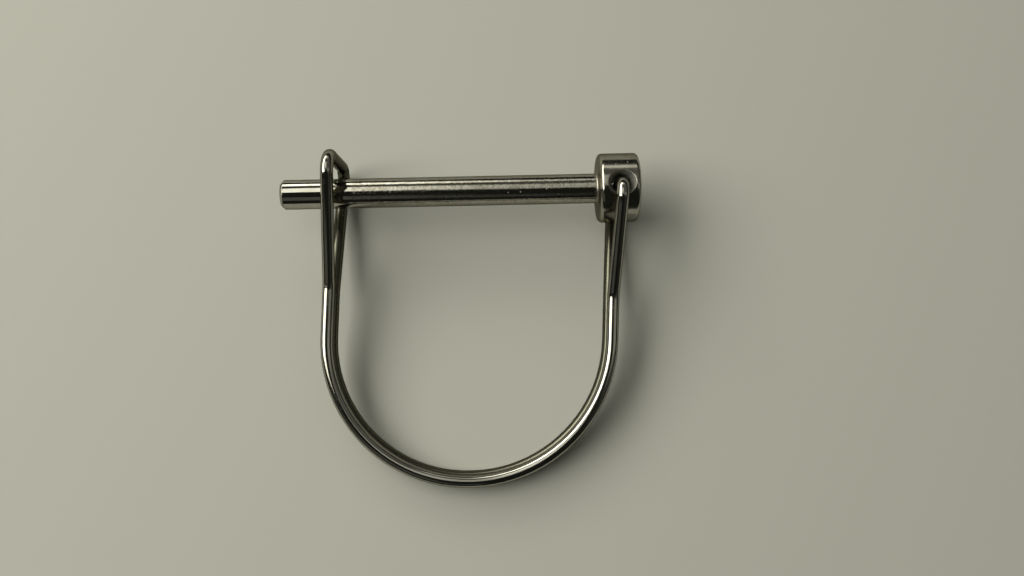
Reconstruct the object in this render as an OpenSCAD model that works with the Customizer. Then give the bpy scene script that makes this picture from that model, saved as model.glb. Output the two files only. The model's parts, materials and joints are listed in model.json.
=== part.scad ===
// Round double-wire lock pin.
// A turned pin with a cross-drilled head, and a D-shaped spring wire bail. The wire's two
// ends turn into the head's cross hole, its two strands run side by side round the D, and
// the closed loop at its far end catches over the shank near the tip.
// Origin: centre of the head's shoulder. The shank points along -X, the D hangs towards -Y,
// and the whole lies on its side as it rests on a table.

/* [Pin] */
// Diameter of the shank
shank_d = 6; // [5:0.5:8]
// Length of the shank from the head's shoulder to the tip
shank_length = 64; // [56:1:74]
// Chamfer round the tip
tip_chamfer = 0.6; // [0.3:0.1:1]
// Radius of the fillet where the shank meets the shoulder
neck_fillet = 0.5; // [0.2:0.1:0.8]
// Diameter of the head
head_d = 14; // [13:0.5:18]
// Length of the head
head_length = 8; // [7.5:0.5:11]
// Radius round the head's two rims
head_rim_radius = 0.8; // [0.3:0.1:1]

/* [Cross hole] */
// Distance of the cross hole's centre from the shoulder
hole_from_shoulder = 4.2; // [4:0.1:4.5]
// Clearance all round the wire in the cross hole
hole_clearance = 0.65; // [0.3:0.05:0.8]
// Diameter of the countersink at each mouth of the cross hole
countersink_d = 5.6; // [5.2:0.1:6.2]
// Included angle of the countersink
countersink_angle = 60; // [50:5:90]

/* [Wire] */
// Diameter of the spring wire
wire_d = 2.5; // [2:0.1:2.8]
// Gap between the wire's two ends inside the head
end_gap = 3; // [1:0.5:5]
// Inside radius of the elbow at each mouth of the cross hole
elbow_inner_radius = 1.15; // [0.8:0.05:1.5]
// Inside radius of the loop's two corners
loop_inner_radius = 1.85; // [1:0.05:2]
// Inside radius of the kinks where the strands close up
kink_inner_radius = 5; // [3:0.5:8]

/* [Bail] */
// Drop from the cross hole to the wire's centreline at the bottom of the D
bail_drop = 59.9; // [56:0.1:68]
// Length of the flat at the bottom of the D
bow_flat = 0.5; // [0.5:0.5:8]
// How much fuller the bow's bend below the head is than the one below the loop
bow_skew = 0.9; // [0:0.1:2]
// How far the leg at the head stands in from the cross hole
leg_inset = 0.55; // [0:0.05:1.5]
// Distance below the cross hole at which the front strand closes up on the rear one
kink_drop = 22; // [18:0.5:25]
// How much lower the rear strand's kinks are
rear_kink_lag = 1.2; // [0:0.1:2]
// Gap between the two strands along the D
strand_gap = 0.3; // [0.2:0.05:0.6]
// How far the rear strand lies inside the front one along the D
strand_step = 0.45; // [0:0.05:0.8]
// How far the tip reaches past the loop's centreline
tip_reach = 11; // [8:0.1:13]
// How far the loop leans in from the leg below it
loop_lean = 0.15; // [0:0.05:1]
// Angle by which the closed bail is turned up about the cross hole
bail_angle = 3.1; // [1:0.1:3.5]

/* [Clearances] */
// Clearance between the head's crown and the widest point of each elbow
elbow_clearance = 0.05; // [0.05:0.05:0.5]
// Clearance between the shank and the loop on each side
loop_side_clearance = 4.45; // [4.2:0.05:6]
// Clearance between the shank and the loop's crossbar
crossbar_clearance = 2.4; // [2:0.1:5]

/* [Hidden] */
$fn = 96;
// Margin by which a cutting tool passes through the surface it cuts
cut_margin = 1;
// How far each straight of the wire runs into the bend next to it
bend_lap = 0.1;
// How much the wire's radius grows round a bend
bend_fullness = 0.01;

shank_r = shank_d / 2;
head_r = head_d / 2;
wire_r = wire_d / 2;
hole_r = wire_r + hole_clearance;
countersink_r = countersink_d / 2;
countersink_slope = tan(countersink_angle / 2);
countersink_depth = (countersink_r - hole_r) / countersink_slope;

// Bend radii at the wire's centreline
elbow_r = elbow_inner_radius + wire_r;
loop_r = loop_inner_radius + wire_r;
kink_r = kink_inner_radius + wire_r;

// Bail coordinates: u runs from the cross hole away from the tip, v up towards the crossbar,
// w out of the D's plane. Half distances between the two strands' centrelines:
strand_w = (wire_d + strand_gap) / 2;
elbow_w = head_r + elbow_clearance + wire_r;
loop_w = shank_r + loop_side_clearance + wire_r;

// The loop stands over the shank, tip_reach short of the tip
head_leg_u = -leg_inset;
crossbar_height = shank_r + crossbar_clearance + wire_r;
loop_from_hole = shank_length + hole_from_shoulder - tip_reach;
loop_u = -loop_from_hole * cos(bail_angle) - crossbar_height * sin(bail_angle);
loop_v = crossbar_height * cos(bail_angle) - loop_from_hole * sin(bail_angle);
far_leg_u = loop_u - loop_lean;
bow_r = (head_leg_u - far_leg_u - bow_flat) / 2;
near_bow_r = bow_r + bow_skew / 2;
far_bow_r = bow_r - bow_skew / 2;

// Slope of a leg that runs from a kink and wraps the outside of a bend circle
function splay(rise, reach, r) = atan(reach / rise) + asin(r / norm([rise, reach]));

// Half distance between two sharp corners that bends round off, where the wire reaches out
// to w and the kink lies rise below the bend's centre
function corner_w(w, r, rise) =
    w - r + r * tan((90 + splay(rise, w - r - strand_w, r)) / 2);

// Corner points of one strand, from its end in the head to the loop. side is 1 for the
// front strand and -1 for the rear one, step moves the strand in from the D's outline, and
// kink is how far below the cross hole it closes up.
function strand(side, step, kink) = [
    [0, 0, side * end_gap / 2],
    [0, 0, side * corner_w(elbow_w, elbow_r, kink - elbow_r)],
    [head_leg_u - step, -kink, side * strand_w],
    [head_leg_u - step, step - bail_drop, side * strand_w],
    [far_leg_u + step, step - bail_drop, side * strand_w],
    [far_leg_u + step, -kink, side * strand_w],
    [loop_u, loop_v, side * corner_w(loop_w, loop_r, kink + loop_v - loop_r)]
];
function strand_bends(step) =
    [0, elbow_r, kink_r, near_bow_r - step, far_bow_r - step, kink_r, loop_r];
function reversed(list) = [for (i = [len(list) - 1 : -1 : 0]) list[i]];

// The whole wire is the front strand, then the rear strand back to the head
rear_kink_drop = kink_drop + rear_kink_lag;
bail_path = concat(
    strand(1, 0, kink_drop),
    reversed(strand(-1, strand_step, rear_kink_drop))
);
bail_bends = concat(strand_bends(0), reversed(strand_bends(strand_step)));

// Lying on its side, the bail touches the table at the bottom of the D's rear strand and at
// the rear elbow or the loop's rear corner, whichever stands out further.
near_bow_r_inside = near_bow_r - strand_step;
bow_bottom =
    turned_v(head_leg_u - near_bow_r, near_bow_r - bail_drop) - near_bow_r_inside;
function turned_v(u, v) = v * cos(bail_angle) - u * sin(bail_angle);
function rest_angle(height, depth, r) =
    atan((depth - strand_w) / (height - bow_bottom))
    + asin(r / norm([height - bow_bottom, depth - strand_w]));
lay_angle = max(
    rest_angle(turned_v(0, -elbow_r), elbow_w - elbow_r, elbow_r),
    rest_angle(turned_v(loop_u, loop_v - loop_r), loop_w - loop_r, loop_r)
);

// Direction of the wire on its way into corner i of a path, the angle turned there, and
// the distance from the corner to each end of its bend
function into(path, i) = (path[i] - path[i - 1]) / norm(path[i] - path[i - 1]);
function turn(path, i) = acos(into(path, i) * into(path, i + 1));
function set_back(path, bends, i) = bends[i] * tan(turn(path, i) / 2);
function bend_start(path, bends, i) = path[i] - into(path, i) * set_back(path, bends, i);
function bend_end(path, bends, i) = path[i] + into(path, i + 1) * set_back(path, bends, i);

// Unit vectors: along v, and square to both a and b
function unit(v) = v / norm(v);
function square_to(a, b) = unit(cross(a, b));

// Places its children in the frame whose axes are x, y and their cross product
module placed(origin, x, y) {
    z = cross(x, y);
    multmatrix([
        [x[0], y[0], z[0], origin[0]],
        [x[1], y[1], z[1], origin[1]],
        [x[2], y[2], z[2], origin[2]]
    ])
        children();
}

// Straight round bar between two points
module bar(from, to, r) {
    along = unit(to - from);
    side = square_to(along, abs(along[2]) < 0.9 ? [0, 0, 1] : [1, 0, 0]);
    placed(from, side, cross(along, side))
        cylinder(h = norm(to - from), r = r);
}

// Part of a ring that rounds corner i of a path
module bend(path, bends, i, r) {
    normal = square_to(into(path, i), into(path, i + 1));
    outward = cross(into(path, i), normal);
    centre = bend_start(path, bends, i) - outward * bends[i];
    placed(centre, outward, into(path, i))
        rotate_extrude(angle = turn(path, i))
            translate([bends[i], 0])
                circle(r = r);
}

// Round wire along a path of corner points, each inner corner rounded by its own bend.
// The straights run a little way into the bends, which are slightly fuller.
module wire(path, bends, r) {
    last = len(path) - 1;
    for (i = [1 : last]) {
        lap = into(path, i) * bend_lap;
        from = i == 1 ? path[0] : bend_end(path, bends, i - 1) - lap;
        to = i == last ? path[last] : bend_start(path, bends, i) + lap;
        bar(from, to, r);
    }
    for (i = [1 : last - 1])
        bend(path, bends, i, r + bend_fullness);
}

// Everything is modelled with the D upright in the XY plane, then laid on its rear side
module laid() {
    rotate([lay_angle, 0, 0])
        children();
}

// Half section of the turned pin, with its axis along Y and the tip at the bottom
module pin_section() {
    difference() {
        union() {
            polygon([
                [0, -shank_length],
                [shank_r - tip_chamfer, -shank_length],
                [shank_r, tip_chamfer - shank_length],
                [shank_r, 0],
                [0, 0]
            ]);
            translate([shank_r, -neck_fillet])
                square(neck_fillet);
            head_section();
        }
        translate([shank_r + neck_fillet, -neck_fillet])
            circle(r = neck_fillet);
    }
}

// Half section of the head, its two rims rounded
module head_section() {
    flat_r = head_r - head_rim_radius;
    square([flat_r, head_length]);
    translate([0, head_rim_radius])
        square([head_r, head_length - 2 * head_rim_radius]);
    for (y = [head_rim_radius, head_length - head_rim_radius])
        translate([flat_r, y])
            circle(r = head_rim_radius);
}

// Cross hole through the head, with a countersink at each mouth
module cross_hole() {
    cylinder(h = head_d + 2 * cut_margin, r = hole_r, center = true);
    for (side = [0, 1])
        mirror([0, 0, side])
            translate([0, 0, head_r - countersink_depth])
                cylinder(
                    h = countersink_depth + cut_margin,
                    r1 = hole_r,
                    r2 = countersink_r + cut_margin * countersink_slope
                );
}

module pin() {
    color([0.68, 0.67, 0.63])
        laid()
            difference() {
                rotate([0, 90, 0])
                    rotate_extrude()
                        pin_section();
                translate([hole_from_shoulder, 0, 0])
                    cross_hole();
            }
}

module bail() {
    color([0.6, 0.59, 0.55])
        laid()
            translate([hole_from_shoulder, 0, 0])
                rotate([0, 0, -bail_angle])
                    wire(bail_path, bail_bends, wire_r);
}

pin();
bail();
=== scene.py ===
"""Looks of a round lock pin: a turned steel pin with a sprung double-wire bail."""
import json
import logging
import math
from dataclasses import dataclass
from enum import Enum
from itertools import accumulate
from typing import Any, Sequence

import bmesh
import bpy
from mathutils import Matrix, Vector


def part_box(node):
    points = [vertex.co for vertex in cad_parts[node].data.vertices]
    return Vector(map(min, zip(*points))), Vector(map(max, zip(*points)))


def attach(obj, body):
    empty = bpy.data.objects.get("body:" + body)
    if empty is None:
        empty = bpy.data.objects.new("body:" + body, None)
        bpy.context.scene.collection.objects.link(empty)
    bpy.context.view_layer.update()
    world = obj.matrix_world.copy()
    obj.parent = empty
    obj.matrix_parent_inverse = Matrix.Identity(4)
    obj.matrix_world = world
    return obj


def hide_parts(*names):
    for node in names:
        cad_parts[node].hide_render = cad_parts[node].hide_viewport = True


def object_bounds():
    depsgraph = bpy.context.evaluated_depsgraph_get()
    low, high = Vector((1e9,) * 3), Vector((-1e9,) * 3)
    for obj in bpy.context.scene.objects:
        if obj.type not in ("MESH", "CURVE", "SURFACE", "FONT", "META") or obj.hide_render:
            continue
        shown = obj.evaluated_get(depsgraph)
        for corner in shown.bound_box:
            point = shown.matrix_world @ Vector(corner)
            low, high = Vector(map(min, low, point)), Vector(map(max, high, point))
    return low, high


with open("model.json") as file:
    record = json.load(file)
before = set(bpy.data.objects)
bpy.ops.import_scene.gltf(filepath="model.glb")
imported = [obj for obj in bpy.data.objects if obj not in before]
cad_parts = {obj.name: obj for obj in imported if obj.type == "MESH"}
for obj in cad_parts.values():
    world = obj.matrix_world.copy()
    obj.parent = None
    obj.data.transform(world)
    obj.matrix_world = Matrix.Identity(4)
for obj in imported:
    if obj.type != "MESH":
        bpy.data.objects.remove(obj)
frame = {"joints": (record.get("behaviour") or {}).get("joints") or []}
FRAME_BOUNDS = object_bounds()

LOG = logging.getLogger("lock_pin")
MM = 0.001

Colour = tuple[float, float, float]
Span = tuple[float, float]
Profile = list[tuple[float, float]]
Ring = list[bmesh.types.BMVert]
Corner = tuple[Vector, float]


class Body(Enum):
    """The bodies that the pieces ride on."""

    PIN = "pin"
    BAIL = "bail"


class Slot(Enum):
    """The record's material slots."""

    PIN = "polished_pin"
    WIRE = "spring_wire"


class Side(Enum):
    """The two sides of the bail, seen with the D upright."""

    FRONT = 1
    REAR = -1


class Mouth(Enum):
    """The cross hole's two mouths, by the side of the head that they open on."""

    TOP = 1
    BELOW = -1


class WireLayer(Enum):
    """The wire's mesh attributes.

    PLACE holds the length along the wire and the cosine and sine of the place round it. STATE
    holds the facing of the other strand, the nearness of a bend and the rubbing of the shank.
    """

    PLACE = "wire_place"
    STATE = "wire_state"


# ---------------------------------------------------------------------------------------
# Node graphs
# ---------------------------------------------------------------------------------------


class Signal:
    """A number in a node graph. Arithmetic on it adds Math nodes."""

    def __init__(self, graph: "Graph", socket: bpy.types.NodeSocket) -> None:
        """Wrap one socket.

        Args:
            graph: The graph that the socket belongs to.
            socket: An output socket that carries a number.
        """
        self.graph = graph
        self.socket = socket

    def _math(self, operation: str, first: Any, second: Any = 0.0) -> "Signal":
        """Add a Math node.

        Args:
            operation: The node's operation.
            first: Its first value.
            second: Its second value.

        Returns:
            The node's result.
        """
        return self.graph.signal("ShaderNodeMath", {"operation": operation}, {0: first, 1: second})

    def __add__(self, other: Any) -> "Signal":
        """Return self + other."""
        return self._math("ADD", self, other)

    def __radd__(self, other: Any) -> "Signal":
        """Return other + self."""
        return self._math("ADD", other, self)

    def __sub__(self, other: Any) -> "Signal":
        """Return self - other."""
        return self._math("SUBTRACT", self, other)

    def __rsub__(self, other: Any) -> "Signal":
        """Return other - self."""
        return self._math("SUBTRACT", other, self)

    def __mul__(self, other: Any) -> "Signal":
        """Return self * other."""
        return self._math("MULTIPLY", self, other)

    def __rmul__(self, other: Any) -> "Signal":
        """Return other * self."""
        return self._math("MULTIPLY", other, self)

    def __pow__(self, other: Any) -> "Signal":
        """Return self to the power of other."""
        return self._math("POWER", self, other)

    def smooth(self, low: float, high: float) -> "Signal":
        """Rise smoothly from 0 at low to 1 at high.

        Args:
            low: The value at which the rise starts.
            high: The value at which it ends. Below low, the result falls instead.

        Returns:
            A number from 0 to 1.
        """
        inputs = {"Value": self, "From Min": min(low, high), "From Max": max(low, high)}
        rise = self.graph.signal("ShaderNodeMapRange", {"interpolation_type": "SMOOTHSTEP"}, inputs)
        return rise if low < high else 1 - rise


class Graph:
    """A node tree with one way to add a node."""

    # A Mix node's colour sockets, whose names its sockets for numbers and vectors share
    MIX_FIRST = 6
    MIX_SECOND = 7
    MIX_RESULT = 2

    def __init__(self, tree: bpy.types.NodeTree) -> None:
        """Start from an empty tree.

        Args:
            tree: The tree to fill.
        """
        self.tree = tree
        tree.nodes.clear()

    def node(
        self, kind: str, settings: dict[str, Any] | None = None, inputs: dict[Any, Any] | None = None
    ) -> bpy.types.Node:
        """Add one node.

        Args:
            kind: The node's type.
            settings: Its properties, set first.
            inputs: Values or links for its sockets, by name or by number.

        Returns:
            The node.
        """
        made = self.tree.nodes.new(kind)
        for name, value in (settings or {}).items():
            setattr(made, name, value)
        for name, value in (inputs or {}).items():
            link = value.socket if isinstance(value, Signal) else value
            if isinstance(link, bpy.types.NodeSocket):
                self.tree.links.new(link, made.inputs[name])
            else:
                made.inputs[name].default_value = link
        return made

    def signal(
        self, kind: str, settings: dict[str, Any] | None = None, inputs: dict[Any, Any] | None = None
    ) -> Signal:
        """Add one node and take its first output as a number.

        Args:
            kind: The node's type.
            settings: Its properties.
            inputs: Values or links for its sockets.

        Returns:
            The node's first output.
        """
        return Signal(self, self.node(kind, settings, inputs).outputs[0])

    def split(self, vector: bpy.types.NodeSocket) -> list[Signal]:
        """Split a vector.

        Args:
            vector: The vector's socket.

        Returns:
            Its three parts.
        """
        parts = self.node("ShaderNodeSeparateXYZ", inputs={0: vector})
        return [Signal(self, socket) for socket in parts.outputs]

    def join(self, x: Any, y: Any, z: Any) -> bpy.types.NodeSocket:
        """Join three numbers into a vector.

        Args:
            x: Its first part.
            y: Its second part.
            z: Its third part.

        Returns:
            The vector's socket.
        """
        return self.node("ShaderNodeCombineXYZ", inputs={0: x, 1: y, 2: z}).outputs[0]

    def noise(self, vector: bpy.types.NodeSocket, detail: float = 2.0, roughness: float = 0.5) -> Signal:
        """Add soft noise with features about one unit across.

        Args:
            vector: Where the noise is read.
            detail: How many finer layers it has.
            roughness: How strong these are.

        Returns:
            A number about 0.5, from 0 to 1.
        """
        inputs = {"Vector": vector, "Scale": 1.0, "Detail": detail, "Roughness": roughness}
        return self.signal("ShaderNodeTexNoise", {"noise_dimensions": "3D"}, inputs)

    def specks(self, vector: bpy.types.NodeSocket, size: Span, share: Span) -> Signal:
        """Add sparse round specks, at most one in each unit cell.

        Args:
            vector: Where the specks are read.
            size: A speck's outer radius and the radius of its full middle.
            share: Cells whose random number lies past the second value have a full speck, and
                those below the first have none.

        Returns:
            1 inside a speck and 0 elsewhere.
        """
        cells = self.node("ShaderNodeTexVoronoi", {"feature": "F1"}, {"Vector": vector, "Scale": 1.0})
        near = Signal(self, cells.outputs["Distance"]).smooth(*size)
        pick = self.split(cells.outputs["Color"])[0].smooth(*share)
        return near * pick

    def mix(self, amount: Any, first: Any, second: Any) -> bpy.types.NodeSocket:
        """Mix two colours.

        Args:
            amount: How much of the second, from 0 to 1.
            first: The first colour, as three numbers or a socket.
            second: The second colour.

        Returns:
            The mixed colour's socket.
        """
        colours = [(*side, 1.0) if isinstance(side, tuple) else side for side in (first, second)]
        inputs = {"Factor": amount, self.MIX_FIRST: colours[0], self.MIX_SECOND: colours[1]}
        return self.node("ShaderNodeMix", {"data_type": "RGBA"}, inputs).outputs[self.MIX_RESULT]


# ---------------------------------------------------------------------------------------
# Finishes
# ---------------------------------------------------------------------------------------


@dataclass(frozen=True)
class Grain:
    """A pattern of soft noise.

    along and across are how many features it has in a unit of the place along its grain and
    of the place across it. layers and layer_strength say how much finer noise lies on it.
    """

    along: float
    across: float
    layers: float = 2.0
    layer_strength: float = 0.6

    def lay(self, graph: Graph, along: Signal, first: Signal, second: Signal) -> Signal:
        """Lay the pattern over a surface.

        Args:
            graph: The graph of the surface's material.
            along: The place along the grain.
            first: The first part of the place across it.
            second: The second part.

        Returns:
            A number about 0.5, from 0 to 1.
        """
        place = graph.join(along * self.along, first * self.across, second * self.across)
        return graph.noise(place, self.layers, self.layer_strength)


@dataclass(frozen=True)
class WearAndShade:
    """What a wear mark or painted shade does to the steel: how far it darkens it and how much it
    roughens it.
    """

    darkening: float = 0.0
    roughening: float = 0.0


@dataclass(frozen=True)
class Steel:
    """Polished stainless steel. Each kind says how its finish varies over the surface."""

    name: str
    colour: Colour
    # The colour that wear marks and painted shade darken the steel towards
    wear_and_shade_colour: Colour
    # Set low, this darkens the steel's reflections at grazing angles: painted shade for the dim floor
    # the limbs show
    grazing_tint: Colour = (0.30, 0.30, 0.27)

    def detail(self, graph: Graph) -> tuple[bpy.types.NodeSocket, Signal, Signal]:
        """Vary the finish over the surface.

        Args:
            graph: The graph of the material.

        Returns:
            The finish's colour, its roughness and its relief in millimetres.
        """
        raise NotImplementedError

    def material(self) -> bpy.types.Material:
        """Make the finish's material.

        Returns:
            The material.
        """
        made = bpy.data.materials.new(self.name)
        made.use_nodes = True
        graph = Graph(made.node_tree)
        colour, roughness, relief = self.detail(graph)
        bump = graph.node("ShaderNodeBump", inputs={"Strength": 1.0, "Distance": MM, "Height": relief})
        shader = graph.node(
            "ShaderNodeBsdfPrincipled",
            inputs={
                "Base Color": colour,
                "Metallic": 1.0,
                "Roughness": roughness,
                "Specular Tint": (*self.grazing_tint, 1.0),
                "Normal": bump.outputs[0],
            },
        )
        graph.node("ShaderNodeOutputMaterial", inputs={"Surface": shader.outputs[0]})
        return made


@dataclass(frozen=True, kw_only=True)
class TurnedSteel(Steel):
    """The pin: turned and polished bar, brushed head, a matter countersink and fine pits, with painted
    shade at the neck and painted light in the countersink and the pits.

    Lengths are in millimetres. A mask's span says where it is 0 and where it is 1, measured
    along the axis, or for the countersink from its rim and from the head's crown.
    """

    name: str = "polished_bar"
    colour: Colour = (0.46, 0.452, 0.405)
    # Darker colour for wear and for the painted shade at the neck
    wear_and_shade_colour: Colour = (0.33, 0.31, 0.255)
    # Lighter colour painted into the countersink and the pits: painted light and painted glints
    painted_light_colour: Colour = (0.66, 0.65, 0.60)
    polish: float = 0.06

    # The pin's sizes and the places of the masks
    lay: float
    hole_x: float
    countersink_r: float
    head_r: float
    head_edge: Span = (-0.1, 0.1)
    stub_edge: Span = (-49.2, -49.8)
    sink_rim: Span = (0.15, -0.05)
    sink_depth: Span = (-0.02, -0.07)
    neck_shank_edge: Span = (-1.1, -0.2)
    neck_head_edge: Span = (0.1, -0.05)

    # The patterns, per millimetre
    short_marks: Grain = Grain(7.0, 3.2, 1.0, 0.5)
    fine_marks: Grain = Grain(16.0, 1.5)
    flecks: Grain = Grain(3.0, 1.8)
    sink_marks: Grain = Grain(9.0, 0.7)
    clouds: Grain = Grain(0.32, 0.45, 3.0)
    short_mark_dark: Span = (0.58, 0.36)
    short_mark_rough: Span = (0.45, 0.65)
    fleck_span: Span = (0.46, 0.62)
    cloud_span: Span = (0.42, 0.66)
    pits_per_mm: float = 0.8
    pit_shift: float = 0.4
    pit_size: Span = (0.13, 0.052)
    pit_share: Span = (0.77, 0.78)

    # How deep the relief is
    mark_depth: float = 0.015
    fine_mark_share: float = 0.03
    sink_mark_share: float = 0.6
    pit_depth: float = 0.02
    stub_share: float = 0.2
    head_polish: float = 0.45

    # What each kind of mark or painted shade does
    short_mark_wear: WearAndShade = WearAndShade(0.4, 0.12)
    fleck_wear: WearAndShade = WearAndShade(0.9)
    cloud_wear: WearAndShade = WearAndShade(0.4, 0.03)
    head_wear: WearAndShade = WearAndShade(0.2, 0.03)
    # Painted shade in the neck's fillet, and rougher there
    neck_shade: WearAndShade = WearAndShade(0.8, 0.24)
    sink_wear: WearAndShade = WearAndShade(roughening=0.34)
    pit_wear: WearAndShade = WearAndShade(roughening=0.3)

    def place(self, graph: Graph) -> list[Signal]:
        """Read the place on the pin.

        Args:
            graph: The graph of the material.

        Returns:
            x, y and z in millimetres, with the cross hole along z.
        """
        lying = graph.node("ShaderNodeTexCoord").outputs["Object"]
        turn = {"Vector": lying, "Angle": -self.lay}
        upright = graph.node("ShaderNodeVectorRotate", {"rotation_type": "X_AXIS"}, turn).outputs[0]
        scale = {0: upright, "Scale": 1 / MM}
        return graph.split(graph.node("ShaderNodeVectorMath", {"operation": "SCALE"}, scale).outputs[0])

    def detail(self, graph: Graph) -> tuple[bpy.types.NodeSocket, Signal, Signal]:
        """Lay turning marks round the axis and wear on the head and the shank, paint shade at the neck
        and paint light into the countersink and the pits.

        Args:
            graph: The graph of the material.

        Returns:
            The finish's colour, its roughness and its relief in millimetres.
        """
        x, y, z = self.place(graph)
        radius = (y * y + z * z) ** 0.5
        from_hole = ((x - self.hole_x) * (x - self.hole_x) + y * y) ** 0.5
        on_head = x.smooth(*self.head_edge)
        on_stub = x.smooth(*self.stub_edge)
        in_sink = (from_hole - self.countersink_r).smooth(*self.sink_rim)
        in_sink = in_sink * (radius - self.head_r).smooth(*self.sink_depth) * on_head
        neck = x.smooth(*self.neck_shank_edge) * x.smooth(*self.neck_head_edge)
        brushed = (1 - on_stub) * (1 - self.stub_share) + self.stub_share

        sweep = x + radius
        short_marks = self.short_marks.lay(graph, sweep, y, z)
        fine_marks = self.fine_marks.lay(graph, sweep, y, z)
        flecks = self.flecks.lay(graph, sweep, y, z).smooth(*self.fleck_span) * (1 - on_head)
        sink_marks = self.sink_marks.lay(graph, from_hole, x, z)
        clouds = self.clouds.lay(graph, x, y, z).smooth(*self.cloud_span)
        pit_places = [place * self.pits_per_mm for place in (x, y, z)]
        pit_cells = graph.join(pit_places[0] + self.pit_shift, *pit_places[1:])
        pits = graph.specks(pit_cells, self.pit_size, self.pit_share)

        dark_marks = short_marks.smooth(*self.short_mark_dark) * self.short_mark_wear.darkening
        wear_and_shade = brushed * (dark_marks + flecks * self.fleck_wear.darkening)
        wear_and_shade = wear_and_shade + clouds * self.cloud_wear.darkening
        # The head is darker all over; the neck gets painted shade
        wear_and_shade = wear_and_shade + on_head * self.head_wear.darkening + neck * self.neck_shade.darkening
        colour = graph.mix(wear_and_shade, self.colour, self.wear_and_shade_colour)
        # Painted light: the countersink and the real pits are painted lighter, standing in for light
        # they catch
        colour = graph.mix(pits + in_sink, colour, self.painted_light_colour)

        rough_marks = short_marks.smooth(*self.short_mark_rough) * self.short_mark_wear.roughening
        roughness = self.polish + brushed * (rough_marks + clouds * self.cloud_wear.roughening)
        roughness = roughness + on_head * self.head_wear.roughening + neck * self.neck_shade.roughening
        roughness = roughness + in_sink * self.sink_wear.roughening + pits * self.pit_wear.roughening

        marks = short_marks * (1 - on_head * self.head_polish) + fine_marks * self.fine_mark_share
        marks = marks * brushed + in_sink * sink_marks * self.sink_mark_share
        relief = marks * self.mark_depth - pits * self.pit_depth
        return colour, roughness, relief


@dataclass(frozen=True)
class DrawnSteel(Steel):
    """The wire: polished along its length, with painted shade where the strands face each other.

    It reads the mesh's attributes that WireLayer names.
    """

    name: str = "spring_steel"
    colour: Colour = (0.43, 0.42, 0.375)
    # Near-black colour for wear and for the painted shade between the strands
    wear_and_shade_colour: Colour = (0.12, 0.117, 0.09)
    polish: float = 0.06

    # The patterns, per millimetre along the wire and per radius round it
    lines: Grain = Grain(0.10, 5.0, 3.0)
    scuffs: Grain = Grain(0.9, 2.2, 3.0, 0.65)
    tool_marks: Grain = Grain(3.2, 0.7)
    clouds: Grain = Grain(0.14, 0.8, 2.0, 0.5)
    line_span: Span = (0.35, 0.7)
    scuff_span: Span = (0.60, 0.74)
    tool_mark_span: Span = (0.50, 0.68)
    cloud_span: Span = (0.40, 0.65)
    facing_span: Span = (-0.75, 0.05)
    rubbed_bright: float = 0.6

    # How deep the relief is, in millimetres
    line_depth: float = 0.0022
    scuff_share: float = 0.35
    tool_mark_depth: float = 0.004

    # What each kind of mark or painted shade does
    line_wear: WearAndShade = WearAndShade(roughening=0.05)
    scuff_wear: WearAndShade = WearAndShade(roughening=0.08)
    tool_mark_wear: WearAndShade = WearAndShade(roughening=0.16)
    bend_wear: WearAndShade = WearAndShade(0.12)
    cloud_wear: WearAndShade = WearAndShade(0.25, 0.03)
    # Painted shade where the strands face each other, and rougher there
    facing_shade: WearAndShade = WearAndShade(1.0, 0.16)

    @staticmethod
    def read(graph: Graph, layer: WireLayer) -> list[Signal]:
        """Read the three parts of one of the mesh's attributes."""
        attribute = graph.node("ShaderNodeAttribute", {"attribute_name": layer.value})
        return graph.split(attribute.outputs["Vector"])

    def detail(self, graph: Graph) -> tuple[bpy.types.NodeSocket, Signal, Signal]:
        """Draw fine lines along the wire, tool marks at its bends and scuffs, and paint shade between
        the strands.

        Args:
            graph: The graph of the material.

        Returns:
            The finish's colour, its roughness and its relief in millimetres.
        """
        place = self.read(graph, WireLayer.PLACE)
        facing, bend, rubbed = self.read(graph, WireLayer.STATE)
        lines = self.lines.lay(graph, *place)
        scuffs = self.scuffs.lay(graph, *place).smooth(*self.scuff_span)
        tool_marks = self.tool_marks.lay(graph, *place).smooth(*self.tool_mark_span) * bend
        clouds = self.clouds.lay(graph, *place).smooth(*self.cloud_span)
        # Painted shade: the sides of the strands that face each other are darkened, less where the shank
        # rubs the crossbar
        painted_shade = facing.smooth(*self.facing_span) * (1 - rubbed * self.rubbed_bright)

        wear_and_shade = clouds * self.cloud_wear.darkening + bend * self.bend_wear.darkening
        wear_and_shade = painted_shade * self.facing_shade.darkening + (1 - painted_shade) * wear_and_shade
        colour = graph.mix(wear_and_shade, self.colour, self.wear_and_shade_colour)

        roughness = self.polish + lines.smooth(*self.line_span) * self.line_wear.roughening
        roughness = roughness + painted_shade * self.facing_shade.roughening + scuffs * self.scuff_wear.roughening
        roughness = roughness + tool_marks * self.tool_mark_wear.roughening
        roughness = roughness + clouds * self.cloud_wear.roughening

        relief = (lines + scuffs * self.scuff_share) * self.line_depth
        return colour, roughness, relief - tool_marks * self.tool_mark_depth


# ---------------------------------------------------------------------------------------
# Mesh helpers
# ---------------------------------------------------------------------------------------


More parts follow.
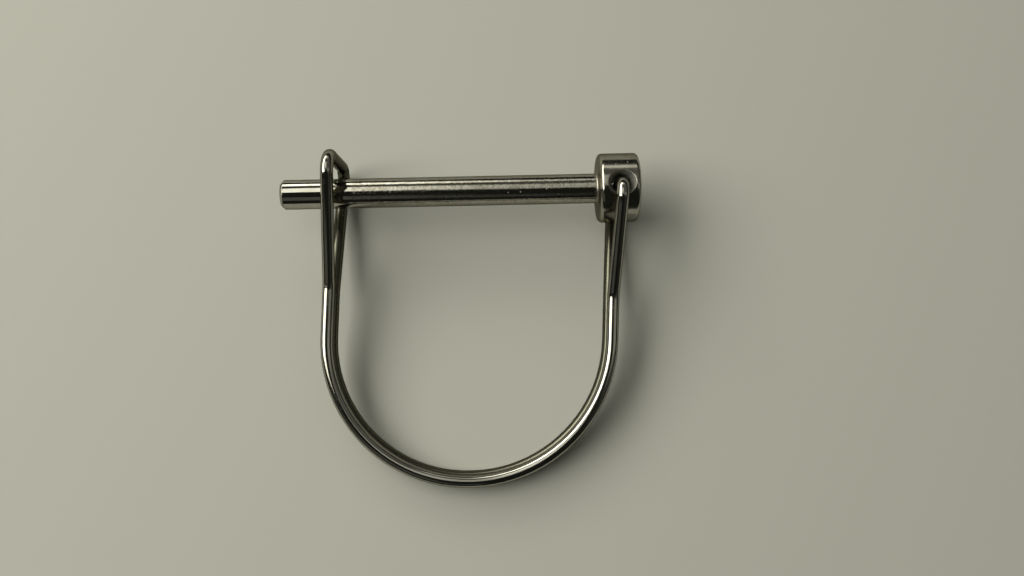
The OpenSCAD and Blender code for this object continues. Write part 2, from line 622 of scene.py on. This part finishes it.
def rounded(corners: Sequence[tuple[float, float, float]], steps: int) -> Profile:
    """Round the inner corners of an open outline.

    Args:
        corners: The outline's corners, each as x, y and its radius. Radius 0 stays sharp.
        steps: How many segments a rounded corner gets.

    Returns:
        The outline's points.
    """
    points: Profile = []
    for index, (x, y, radius) in enumerate(corners):
        here = Vector((x, y))
        if radius == 0 or index in (0, len(corners) - 1):
            points.append((x, y))
            continue
        to_last = (Vector(corners[index - 1][:2]) - here).normalized()
        to_next = (Vector(corners[index + 1][:2]) - here).normalized()
        half = to_last.angle(to_next) / 2
        start = here + to_last * radius / math.tan(half)
        middle = here + (to_last + to_next).normalized() * radius / math.sin(half)
        arm = start - middle
        sweep = math.pi - 2 * half
        if to_last.x * to_next.y - to_last.y * to_next.x > 0:
            sweep = -sweep
        for step in range(steps + 1):
            turned = Matrix.Rotation(sweep * step / steps, 2) @ arm
            points.append(tuple(middle + turned))
    return points


def new_piece(name: str, mesh: bmesh.types.BMesh, material: bpy.types.Material) -> bpy.types.Object:
    """Turn a finished bmesh, in millimetres, into an object.

    Args:
        name: The piece's name.
        mesh: Its mesh, which is freed.
        material: Its material.

    Returns:
        The object, in metres.
    """
    bmesh.ops.recalc_face_normals(mesh, faces=mesh.faces)
    bmesh.ops.scale(mesh, vec=(MM, MM, MM), verts=mesh.verts)
    data = bpy.data.meshes.new(name)
    mesh.to_mesh(data)
    mesh.free()
    data.materials.append(material)
    data.shade_smooth()
    piece = bpy.data.objects.new(name, data)
    bpy.context.scene.collection.objects.link(piece)
    return piece


def bridge(mesh: bmesh.types.BMesh, first: Ring, second: Ring) -> None:
    """Fill the band between two rings of vertices with quads.

    Args:
        mesh: The mesh.
        first: One ring.
        second: The other ring, of the same length.
    """
    for here in range(len(first)):
        after = (here + 1) % len(first)
        mesh.faces.new((first[here], first[after], second[after], second[here]))


def cap(mesh: bmesh.types.BMesh, ring: Ring, middle: bmesh.types.BMVert) -> None:
    """Close a ring of vertices with triangles.

    Args:
        mesh: The mesh.
        ring: The ring.
        middle: The vertex in its middle.
    """
    for here in range(len(ring)):
        mesh.faces.new((middle, ring[here], ring[(here + 1) % len(ring)]))


# ---------------------------------------------------------------------------------------
# The turned pin
# ---------------------------------------------------------------------------------------


@dataclass
class TurnedPin:
    """The pin: shank, head and the countersunk cross hole, in millimetres.

    The axis runs along X, the tip towards -X, and the origin is the shoulder's centre. Where
    the hole opens on the head, a window in the turned surface is filled by a patch of its own.
    edge_lead is how many radii of a rounded edge are drawn of the straight next to it.
    """

    lay: float
    hole_x: float
    shank_length: float
    head_length: float
    shank_r: float = 3.0
    head_r: float = 7.0
    tip_chamfer: float = 0.6
    neck_fillet: float = 0.5
    rim_radius: float = 0.8
    edge_radius: float = 0.08
    hole_r: float = 1.9
    countersink_r: float = 2.8
    countersink_slope: float = math.tan(math.radians(30))
    mouth_radius: float = 0.1
    window_margin: float = 0.16
    segments: int = 192
    window_columns: int = 13
    window_rows: int = 14
    patch_rows: int = 8
    shoulder_steps: int = 10
    end_steps: int = 12
    mouth_steps: int = 6
    halvings: int = 40
    edge_lead: float = 3.0
    material: bpy.types.Material | None = None

    def profile_tip_to_window(self) -> Profile:
        """Draw the outline from the tip's centre to the hole's window.

        Returns:
            Its (x, radius) points.
        """
        tip = -self.shank_length
        return rounded(
            [
                (tip, 0.0, 0.0),
                (tip, self.shank_r - self.tip_chamfer, self.edge_radius),
                (tip + self.tip_chamfer, self.shank_r, self.edge_radius),
                (0.0, self.shank_r, self.neck_fillet),
                (0.0, self.head_r, self.rim_radius),
                (self.window[0], self.head_r, 0.0),
            ],
            self.shoulder_steps,
        )

    def profile_window_to_end(self) -> Profile:
        """Draw the outline from the hole's window to the centre of the head's end.

        Returns:
            Its (x, radius) points.
        """
        return rounded(
            [
                (self.window[1], self.head_r, 0.0),
                (self.head_length, self.head_r, self.rim_radius),
                (self.head_length, 0.0, 0.0),
            ],
            self.end_steps,
        )

    @property
    def window(self) -> Span:
        """Return where the patch around the hole starts and ends along X."""
        reach = self.countersink_r + self.window_margin
        return self.hole_x - reach, self.hole_x + reach

    def ring(self, mesh: bmesh.types.BMesh, x: float, radius: float) -> Ring:
        """Add one ring of vertices around the axis.

        Args:
            mesh: The mesh.
            x: The ring's place along the axis.
            radius: Its radius.

        Returns:
            The ring's vertices, from the top round by +Y.
        """
        made: Ring = []
        for index in range(self.segments):
            angle = 2 * math.pi * index / self.segments
            made.append(mesh.verts.new((x, radius * math.sin(angle), radius * math.cos(angle))))
        return made

    def in_window(self, column: int) -> bool:
        """Tell whether the face after a column of vertices lies inside one of the windows.

        Args:
            column: The column's number round the pin.

        Returns:
            Whether it does.
        """
        offset = (column + self.window_columns) % (self.segments // 2)
        return offset < 2 * self.window_columns

    def lathe(self, mesh: bmesh.types.BMesh) -> list[Ring]:
        """Build everything but the two patches around the hole's mouths.

        Args:
            mesh: The mesh.

        Returns:
            The rings across the windows, from their first to their last.
        """
        before = self.profile_tip_to_window()
        after = self.profile_window_to_end()
        first, last = self.window
        step = (last - first) / self.window_rows
        rings = [self.ring(mesh, x, r) for x, r in before[1:]]
        inner = [self.ring(mesh, first + step * row, self.head_r) for row in range(1, self.window_rows)]
        tail = [self.ring(mesh, x, r) for x, r in after[:-1]]
        window = [rings[-1], *inner, tail[0]]
        for row in (rings, tail):
            for low, high in zip(row, row[1:]):
                bridge(mesh, low, high)
        for low, high in zip(window, window[1:]):
            self.bridge_beside_windows(mesh, low, high)
        cap(mesh, rings[0], mesh.verts.new((before[0][0], 0, 0)))
        cap(mesh, tail[-1], mesh.verts.new((after[-1][0], 0, 0)))
        return window

    def bridge_beside_windows(self, mesh: bmesh.types.BMesh, low: Ring, high: Ring) -> None:
        """Fill the band between two rings, but for the two windows.

        Args:
            mesh: The mesh.
            low: One ring.
            high: The other ring.
        """
        for here in range(self.segments):
            if not self.in_window(here):
                after = (here + 1) % self.segments
                mesh.faces.new((low[here], low[after], high[after], high[here]))

    def window_edge(self, window: list[Ring], mouth: Mouth) -> Ring:
        """Walk round the edge of one window.

        Args:
            window: The rings across the window.
            mouth: The mouth that it is for.

        Returns:
            The edge's vertices in order.
        """
        centre = 0 if mouth is Mouth.TOP else self.segments // 2
        span = range(-self.window_columns, self.window_columns + 1)
        columns = [(centre + offset) % self.segments for offset in span]
        loop = [window[0][column] for column in columns]
        loop += [ring[columns[-1]] for ring in window[1:]]
        loop += [window[-1][column] for column in reversed(columns[:-1])]
        loop += [ring[columns[0]] for ring in reversed(window[1:-1])]
        return loop

    def crown(self, y: float) -> float:
        """Return how high the head's crown stands at y."""
        return math.sqrt(self.head_r**2 - y**2)

    def countersink_reach(self, slant: float) -> float:
        """Find how far from the hole's axis the countersink meets the crown.

        Args:
            slant: The Y part of a unit vector that points from the axis to there.

        Returns:
            The distance from the axis.
        """
        low, high = self.hole_r, self.countersink_r + self.mouth_radius
        for _ in range(self.halvings):
            middle = (low + high) / 2
            cone = self.head_r + (middle - self.countersink_r) / self.countersink_slope
            low, high = (middle, high) if cone < self.crown(middle * slant) else (low, middle)
        return low

    def mouth_section(self, slant: float) -> Profile:
        """Draw the section from the crown into the hole along one direction.

        Args:
            slant: The direction's Y part, of a unit vector.

        Returns:
            (distance from the hole's axis, height) points, from the crown down to the bore.
        """
        rim = self.countersink_reach(slant)
        outside = rim + self.edge_lead * self.mouth_radius
        bore_z = self.head_r - (self.countersink_r - self.hole_r) / self.countersink_slope
        corners = [
            (outside, self.crown(outside * slant), 0.0),
            (rim, self.crown(rim * slant), self.mouth_radius),
            (self.hole_r, bore_z, self.edge_radius),
            (self.hole_r, bore_z - self.edge_lead * self.edge_radius, 0.0),
        ]
        return rounded(corners, self.mouth_steps)[1:]

    def patch(self, mesh: bmesh.types.BMesh, edge: Ring, mouth: Mouth) -> Ring:
        """Build the patch from a window's edge into the bore.

        Args:
            mesh: The mesh.
            edge: The vertices round the window's edge.
            mouth: The mouth that the patch makes.

        Returns:
            The bore's ring of vertices at the patch's inner end.
        """
        columns: list[Ring] = []
        for vertex in edge:
            away = Vector((vertex.co.x - self.hole_x, vertex.co.y))
            reach = away.length
            away.normalize()
            section = self.mouth_section(away.y)
            inset = (section[0][0] - reach) / self.patch_rows
            radii = [reach + inset * row for row in range(1, self.patch_rows)]
            column = [vertex]
            for r, z in [(r, self.crown(r * away.y)) for r in radii] + section:
                place = (self.hole_x + r * away.x, r * away.y, mouth.value * z)
                column.append(mesh.verts.new(place))
            columns.append(column)
        rings = [list(ring) for ring in zip(*columns)]
        for low, high in zip(rings, rings[1:]):
            bridge(mesh, low, high)
        return rings[-1]

    def build(self) -> bpy.types.Object:
        """Build the pin.

        Returns:
            The pin, laid as it rests.
        """
        mesh = bmesh.new()
        window = self.lathe(mesh)
        bores = [self.patch(mesh, self.window_edge(window, mouth), mouth) for mouth in Mouth]
        bridge(mesh, *(sorted(bore, key=self.bearing) for bore in bores))
        bare = [vertex for ring in window[1:-1] for vertex in ring if not vertex.link_faces]
        bmesh.ops.delete(mesh, geom=bare, context="VERTS")
        bmesh.ops.rotate(mesh, matrix=Matrix.Rotation(self.lay, 3, "X"), verts=mesh.verts)
        return new_piece("turned_pin", mesh, self.material)

    def bearing(self, vertex: bmesh.types.BMVert) -> float:
        """Return a vertex's direction from the hole's axis, in radians."""
        return math.atan2(vertex.co.y, vertex.co.x - self.hole_x)


# ---------------------------------------------------------------------------------------
# The wire bail
# ---------------------------------------------------------------------------------------


@dataclass
class Station:
    """A place along the wire's centreline.

    bend says how near a tight bend it is and rubbed whether the shank rubs it, both from 0 to 1.
    """

    centre: Vector
    along: float
    bend: float
    rubbed: float
    side: Side


@dataclass
class WireBail:
    """The sprung wire, in millimetres.

    u runs from the cross hole away from the tip, v up towards the crossbar, and w out of
    the D's plane. The wire is one path of straights and bends, front strand first.
    """

    lay: float
    hole_x: float
    shank_length: float
    head_r: float
    shank_r: float
    wire_r: float = 1.25
    end_gap: float = 3.0
    elbow_inner_radius: float = 1.15
    loop_inner_radius: float = 1.85
    kink_inner_radius: float = 5.0
    bail_drop: float = 59.9
    bow_flat: float = 0.5
    bow_skew: float = 0.9
    leg_inset: float = 0.55
    kink_drop: float = 22.0
    rear_kink_lag: float = 1.2
    strand_gap: float = 0.3
    strand_step: float = 0.45
    tip_reach: float = 11.0
    loop_lean: float = 0.15
    bail_angle: float = math.radians(3.1)
    elbow_clearance: float = 0.05
    loop_side_clearance: float = 4.45
    crossbar_clearance: float = 2.4
    edge_radius: float = 0.12
    tight_radius: float = 8.0
    mark_reach: float = 3.5
    rubbed_half: float = 8.0
    rubbed_fade: float = 2.0
    around: int = 48
    bend_step: float = math.radians(4)
    fewest_bend_steps: int = 4
    straight_step: float = 1.0
    edge_steps: int = 4
    material: bpy.types.Material | None = None

    @property
    def strand_w(self) -> float:
        """Return half the distance between the two strands round the D."""
        return self.wire_r + self.strand_gap / 2

    @staticmethod
    def splay(rise: float, reach: float, radius: float) -> float:
        """Work out the slope of a leg that wraps the outside of a bend.

        Args:
            rise: The height from the kink to the bend's centre.
            reach: The distance sideways between them.
            radius: The bend's radius.

        Returns:
            The slope in radians.
        """
        return math.atan(reach / rise) + math.asin(radius / math.hypot(rise, reach))

    def corner_w(self, w: float, radius: float, rise: float) -> float:
        """Work out how far out the sharp corner lies that a bend rounds off.

        Args:
            w: The bend's widest point, at the wire's centreline.
            radius: The bend's radius.
            rise: The height from the kink to the bend's centre.

        Returns:
            The corner's distance from the D's plane.
        """
        slope = self.splay(rise, w - radius - self.strand_w, radius)
        return w - radius + radius * math.tan((math.pi / 2 + slope) / 2)

    def strand(self, side: Side, step: float, kink: float) -> list[Corner]:
        """Place the corners of one strand.

        Args:
            side: The strand's side.
            step: How far it stands in from the D's outline.
            kink: How far below the cross hole it closes up on the other strand.

        Returns:
            (corner, bend radius) pairs from the wire's end in the head to the loop.
        """
        elbow_r = self.elbow_inner_radius + self.wire_r
        loop_r = self.loop_inner_radius + self.wire_r
        kink_r = self.kink_inner_radius + self.wire_r
        crossbar = self.shank_r + self.crossbar_clearance + self.wire_r
        reach = self.shank_length + self.hole_x - self.tip_reach
        loop_u = -reach * math.cos(self.bail_angle) - crossbar * math.sin(self.bail_angle)
        loop_v = crossbar * math.cos(self.bail_angle) - reach * math.sin(self.bail_angle)
        near_u = -self.leg_inset
        far_u = loop_u - self.loop_lean
        bow_r = (near_u - far_u - self.bow_flat) / 2 - step
        skew = self.bow_skew / 2
        elbow_w = self.head_r + self.elbow_clearance + self.wire_r
        loop_w = self.shank_r + self.loop_side_clearance + self.wire_r
        elbow_corner = self.corner_w(elbow_w, elbow_r, kink - elbow_r)
        loop_corner = self.corner_w(loop_w, loop_r, kink + loop_v - loop_r)
        w = self.strand_w
        corners = [
            ((0.0, 0.0, self.end_gap / 2), 0.0),
            ((0.0, 0.0, elbow_corner), elbow_r),
            ((near_u - step, -kink, w), kink_r),
            ((near_u - step, step - self.bail_drop, w), bow_r + skew),
            ((far_u + step, step - self.bail_drop, w), bow_r - skew),
            ((far_u + step, -kink, w), kink_r),
            ((loop_u, loop_v, loop_corner), loop_r),
        ]
        return [(Vector((u, v, side.value * out)), radius) for (u, v, out), radius in corners]

    def corners(self) -> list[Corner]:
        """Place the whole wire's corners.

        Returns:
            (corner, bend radius) pairs, front strand first.
        """
        front = self.strand(Side.FRONT, 0.0, self.kink_drop)
        rear = self.strand(Side.REAR, self.strand_step, self.kink_drop + self.rear_kink_lag)
        return front + rear[::-1]

    def centreline(self) -> list[Vector]:
        """Draw the wire's centreline.

        Returns:
            Its points, close together round the bends.
        """
        corners = self.corners()
        points = [corners[0][0]]
        for index in range(1, len(corners) - 1):
            here, radius = corners[index]
            back = (corners[index - 1][0] - here).normalized()
            ahead = (corners[index + 1][0] - here).normalized()
            half = back.angle(ahead) / 2
            start = here + back * radius / math.tan(half)
            middle = here + (back + ahead).normalized() * radius / math.sin(half)
            sweep = math.pi - 2 * half
            self.add_straight(points, start)
            steps = max(self.fewest_bend_steps, math.ceil(sweep / self.bend_step))
            turn_axis = back.cross(ahead)
            for step in range(1, steps + 1):
                turned = Matrix.Rotation(-sweep * step / steps, 3, turn_axis) @ (start - middle)
                points.append(middle + turned)
        self.add_straight(points, corners[-1][0])
        return points

    def add_straight(self, points: list[Vector], end: Vector) -> None:
        """Carry the centreline on in a straight line.

        Args:
            points: The centreline so far, which grows.
            end: The straight's end.
        """
        start = points[-1]
        steps = max(1, math.ceil((end - start).length / self.straight_step))
        points.extend(start.lerp(end, step / steps) for step in range(1, steps + 1))

    def tight_bends(self, path: list[Vector], lengths: list[float]) -> list[float]:
        """Find where the wire is bent tightly, as its tools mark it there.

        Args:
            path: The centreline's points.
            lengths: The length along the wire at each of them.

        Returns:
            The lengths along the wire at which it is.
        """
        bends: list[float] = []
        for index in range(1, len(path) - 1):
            back, ahead = path[index] - path[index - 1], path[index + 1] - path[index]
            if back.angle(ahead, 0.0) > (back.length + ahead.length) / 2 / self.tight_radius:
                bends.append(lengths[index])
        return bends

    def stations(self) -> list[Station]:
        """Place the rings of the wire's surface.

        Returns:
            Their places along the wire.
        """
        path = self.centreline()
        steps = ((here - last).length for last, here in zip(path, path[1:]))
        lengths = list(accumulate(steps, initial=0.0))
        crossbar = lengths[-1] / 2
        bends = self.tight_bends(path, lengths)
        made: list[Station] = []
        for centre, along in zip(path, lengths):
            bend = 1 - min(abs(along - place) for place in bends) / self.mark_reach
            rubbed = (self.rubbed_half - abs(along - crossbar)) / self.rubbed_fade
            side = Side.FRONT if along < crossbar else Side.REAR
            made.append(Station(centre, along, max(0.0, bend), min(1.0, max(0.0, rubbed)), side))
        return made

    def build(self) -> bpy.types.Object:
        """Build the bail.

        Returns:
            The bail, closed and laid as it rests.
        """
        stations = self.stations()
        path = [station.centre for station in stations]
        mesh = bmesh.new()
        for layer in WireLayer:
            mesh.verts.layers.float_vector.new(layer.value)
        rings: list[Ring] = []
        normal = (path[1] - path[0]).orthogonal().normalized()
        last = len(path) - 1
        for index, station in enumerate(stations):
            forward = (path[min(index + 1, last)] - path[max(index - 1, 0)]).normalized()
            normal = (normal - forward * normal.dot(forward)).normalized()
            rings.append(self.wire_ring(mesh, station, forward, normal))
        self.close_end(mesh, rings[0], path[0], (path[0] - path[1]).normalized())
        self.close_end(mesh, rings[-1], path[-1], (path[-1] - path[-2]).normalized())
        for low, high in zip(rings, rings[1:]):
            bridge(mesh, low, high)
        place = (
            Matrix.Rotation(self.lay, 4, "X")
            @ Matrix.Translation((self.hole_x, 0, 0))
            @ Matrix.Rotation(-self.bail_angle, 4, "Z")
        )
        mesh.transform(place)
        return new_piece("wire_bail", mesh, self.material)

    def wire_ring(
        self, mesh: bmesh.types.BMesh, station: Station, forward: Vector, normal: Vector
    ) -> Ring:
        """Add one ring of the wire's surface, with its place and state.

        Args:
            mesh: The mesh.
            station: The ring's place along the wire.
            forward: The wire's direction.
            normal: A direction square to it, where the ring starts.

        Returns:
            The ring's vertices.
        """
        made: Ring = []
        place = mesh.verts.layers.float_vector[WireLayer.PLACE.value]
        state = mesh.verts.layers.float_vector[WireLayer.STATE.value]
        across = forward.cross(normal)
        for index in range(self.around):
            angle = 2 * math.pi * index / self.around
            out = normal * math.cos(angle) + across * math.sin(angle)
            vertex = mesh.verts.new(station.centre + out * self.wire_r)
            vertex[place] = Vector((station.along, math.cos(angle), math.sin(angle)))
            vertex[state] = Vector((-station.side.value * out.z, station.bend, station.rubbed))
            made.append(vertex)
        return made

    def close_end(self, mesh: bmesh.types.BMesh, ring: Ring, centre: Vector, outward: Vector) -> None:
        """Close one end of the wire, its edge broken.

        Args:
            mesh: The mesh.
            ring: The wire's last ring.
            centre: The ring's centre.
            outward: The direction out of the wire's end.
        """
        last = ring
        for step in range(1, self.edge_steps + 1):
            angle = math.pi / 2 * step / self.edge_steps
            inset = self.edge_radius * (1 - math.cos(angle))
            ahead = self.edge_radius * math.sin(angle)
            made: Ring = []
            for vertex in ring:
                out = (vertex.co - centre).normalized()
                place = centre + out * (self.wire_r - inset) + outward * ahead
                made.append(mesh.verts.new(place, vertex))
            bridge(mesh, last, made)
            last = made
        cap(mesh, last, mesh.verts.new(centre + outward * self.edge_radius, ring[0]))


# ---------------------------------------------------------------------------------------
# The studio
# ---------------------------------------------------------------------------------------


@dataclass(frozen=True)
class Panel:
    """A soft rectangular lamp that hangs level over the part.

    Its edges are in units of its height, measured from the point over the part.
    """

    name: str
    left: float
    right: float
    near: float
    far: float
    radiance: float
    colour: Colour = (1.0, 0.985, 0.87)

    def hang(self, over: Vector, height: float) -> bpy.types.Object:
        """Hang the lamp.

        Args:
            over: The point of the part that the lamps are hung over.
            height: The lamp's height over it.

        Returns:
            The lamp.
        """
        lamp = bpy.data.lights.new(self.name, "AREA")
        lamp.shape = "RECTANGLE"
        lamp.size = (self.right - self.left) * height
        lamp.size_y = (self.far - self.near) * height
        lamp.energy = self.radiance * math.pi * lamp.size * lamp.size_y
        lamp.color = self.colour
        hung = bpy.data.objects.new(self.name, lamp)
        middle = Vector(((self.left + self.right) / 2, (self.near + self.far) / 2, 1.0))
        hung.location = over + middle * height
        bpy.context.scene.collection.objects.link(hung)
        return hung


@dataclass
class Studio:
    """The floor, the soft lamps, the dim room and the camera.

    The lamps hang over a point of the part and the camera stands off it, in millimetres. The
    floor's level and width and the lamps' height are in metres.
    """

    lay: float
    floor_z: float
    over: tuple[float, float, float] = (-28.0, -20.0, 0.0)
    panel_height: float = 0.9
    panels: tuple[Panel, ...] = (
        Panel("window", -2.4, -0.66, -0.32, 3.0, 5.0),
        Panel("window_corner", -0.66, -0.42, -0.30, -0.02, 2.4),
        Panel("near_strip_tip", -0.40, -0.21, 0.06, 0.70, 1.9),
        Panel("near_strip_middle", -0.21, -0.11, 0.02, 0.60, 1.05),
        Panel("near_strip_head", -0.11, 0.20, -0.08, 0.56, 0.58),
        Panel("far_strip_tip", -0.65, -0.30, 1.42, 2.90, 2.6),
        Panel("far_strip_middle", -0.30, -0.11, 1.42, 2.30, 2.1),
        Panel("far_strip_head", -0.11, 0.60, 1.35, 2.10, 0.8),
        Panel("right_fill", 0.32, 1.5, -0.32, 0.04, 0.26),
        Panel("front_fill_left", -2.0, -0.22, -1.9, -0.72, 0.09),
        Panel("front_fill_right", -0.20, 0.05, -2.6, -1.15, 0.06),
    )
    floor_half_width: float = 2.5
    floor_colour: Colour = (0.505, 0.505, 0.465)
    floor_roughness: float = 0.9
    backdrop_colour: Colour = (0.33, 0.33, 0.29)
    room_colour: Colour = (0.014, 0.015, 0.012)
    open_side_colour: Colour = (0.15, 0.15, 0.13)
    open_side: tuple[float, float] = (0.75, 0.65)
    open_side_span: Span = (-0.1, 0.75)
    open_height_span: Span = (0.2, 0.55)
    focal_pixels: float = 830.0
    picture_width_pixels: float = 1024.0
    sensor_width: float = 36.0
    nearest: float = 0.005
    camera_turns: tuple[float, float, float] = (-2.777, 0.784, 1.318)
    camera_offset: tuple[float, float, float] = (17.376, 20.331, -169.327)

    def camera(self) -> None:
        """Set the camera over the part."""
        turned = Matrix.Rotation(self.lay, 3, "X")
        for degrees, axis in zip(self.camera_turns, "XYZ"):
            turned @= Matrix.Rotation(math.radians(-degrees), 3, axis)
        place = turned @ (-MM * Vector(self.camera_offset))
        lens = bpy.data.cameras.new("camera")
        lens.sensor_width = self.sensor_width
        lens.lens = self.focal_pixels / self.picture_width_pixels * self.sensor_width
        lens.clip_start = self.nearest
        camera = bpy.data.objects.new("camera", lens)
        camera.matrix_world = Matrix.Translation(place) @ turned.to_4x4()
        bpy.context.scene.collection.objects.link(camera)
        bpy.context.scene.camera = camera

    def floor(self) -> bpy.types.Object:
        """Lay the floor.

        Returns:
            The floor.
        """
        mesh = bmesh.new()
        bmesh.ops.create_grid(mesh, x_segments=1, y_segments=1, size=self.floor_half_width)
        data = bpy.data.meshes.new("floor")
        mesh.to_mesh(data)
        mesh.free()
        floor = bpy.data.objects.new("floor", data)
        floor.location.z = self.floor_z
        made = bpy.data.materials.new("pale_floor")
        made.use_nodes = True
        graph = Graph(made.node_tree)
        look = {"Base Color": (*self.floor_colour, 1.0), "Roughness": self.floor_roughness}
        shader = graph.node("ShaderNodeBsdfPrincipled", inputs=look)
        graph.node("ShaderNodeOutputMaterial", inputs={"Surface": shader.outputs[0]})
        data.materials.append(made)
        bpy.context.scene.collection.objects.link(floor)
        return floor

    def room(self) -> None:
        """Fill the room with a dim light, paler on its open side, behind a pale backdrop."""
        world = bpy.data.worlds.new("room")
        world.use_nodes = True
        bpy.context.scene.world = world
        graph = Graph(world.node_tree)
        x, y, z = graph.split(graph.node("ShaderNodeTexCoord").outputs["Generated"])
        sideways = (x * self.open_side[0] + y * self.open_side[1]).smooth(*self.open_side_span)
        upwards = z.smooth(*self.open_height_span)
        dim = graph.mix(sideways * upwards, self.room_colour, self.open_side_colour)
        seen = graph.node("ShaderNodeLightPath").outputs["Is Camera Ray"]
        colour = graph.mix(seen, dim, self.backdrop_colour)
        light = graph.node("ShaderNodeBackground", inputs={"Color": colour})
        graph.node("ShaderNodeOutputWorld", inputs={"Surface": light.outputs[0]})

    def build(self) -> None:
        """Set up the studio."""
        self.camera()
        self.floor()
        self.room()
        for panel in self.panels:
            panel.hang(Vector(self.over) * MM, self.panel_height)
        bpy.context.scene.view_settings.view_transform = "Standard"


def main() -> None:
    """Build the part and the studio around it, and report the pieces."""
    logging.basicConfig(level=logging.INFO, format="%(message)s")
    joint = frame["joints"][0]
    lay = math.atan2(-joint["axis"][1], joint["axis"][2])
    hole_x = joint["pos_m"][0] / MM
    pin_low, pin_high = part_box("pin")
    shank_length = -pin_low.x / MM
    Studio(lay, FRAME_BOUNDS[0][2]).build()
    pin = TurnedPin(lay, hole_x, shank_length, pin_high.x / MM)
    turned = TurnedSteel(lay=lay, hole_x=hole_x, countersink_r=pin.countersink_r, head_r=pin.head_r)
    pin.material = turned.material()
    bail = WireBail(lay, hole_x, shank_length, pin.head_r, pin.shank_r)
    bail.material = DrawnSteel().material()
    for piece, body, slot in ((pin.build(), Body.PIN, Slot.PIN), (bail.build(), Body.BAIL, Slot.WIRE)):
        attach(piece, body.value)
        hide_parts(body.value)
        LOG.info("%s: %d faces", piece.name, len(piece.data.polygons))


if __name__ == "__main__":
    main()
